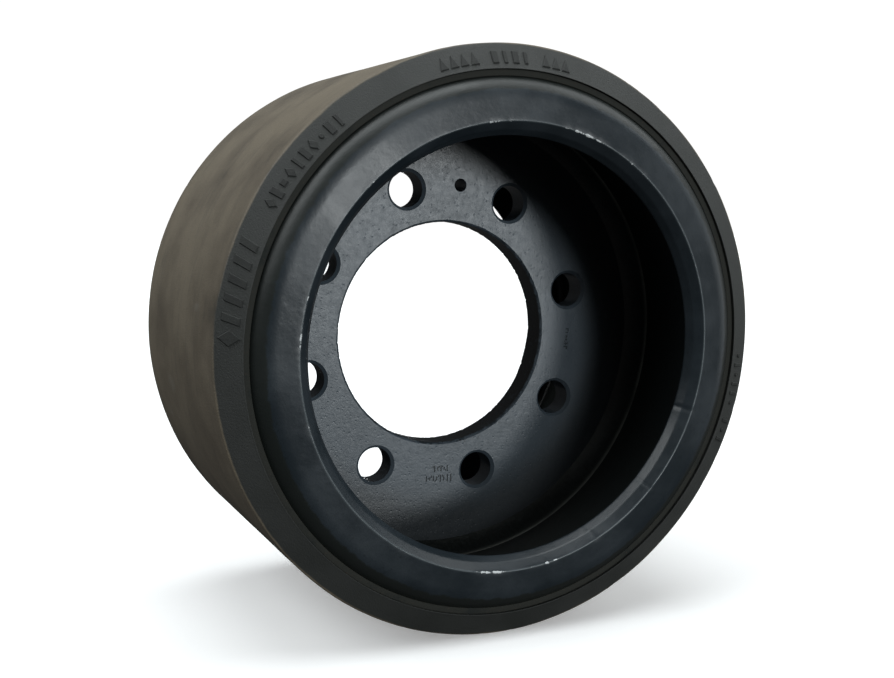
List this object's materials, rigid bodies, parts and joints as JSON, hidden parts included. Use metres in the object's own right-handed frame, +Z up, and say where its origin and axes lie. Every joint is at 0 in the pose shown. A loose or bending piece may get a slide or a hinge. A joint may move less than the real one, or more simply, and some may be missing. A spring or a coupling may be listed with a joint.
{
  "type": "track roller wheel",
  "caption": "Wide rubber-tyred steel roller wheel for a rubber-track undercarriage, with a recessed bolt-on centre disc and in-turned rim lips.",
  "frame": {"origin": "centre of the wheel, on the axle line and midway between the tyre's two sides", "axes": "+Y along the axle line towards the inboard side, where the hub bolts on; -Y is the outboard side; +Z up when the wheel stands on its tread"},
  "size_m": [0.368, 0.2222, 0.368],
  "materials": {
    "tyre_rubber": "matt, dusty on the tread",
    "band_steel": "dull grey, overpainted",
    "rim_paint": "satin blue-grey primer with chips",
    "disc_paint": "satin blue-grey primer over scale",
    "weld_paint": "satin blue-grey primer over weld"
  },
  "bodies": {
    "root": {"tyre": "tyre_rubber", "tyre_band": "band_steel", "rim_outer": "rim_paint", "rim_inner": "rim_paint", "rim_seam_weld": "weld_paint", "centre_disc": "disc_paint", "disc_weld_outer": "weld_paint", "disc_weld_inner": "weld_paint"}
  },
  "joints": []
}
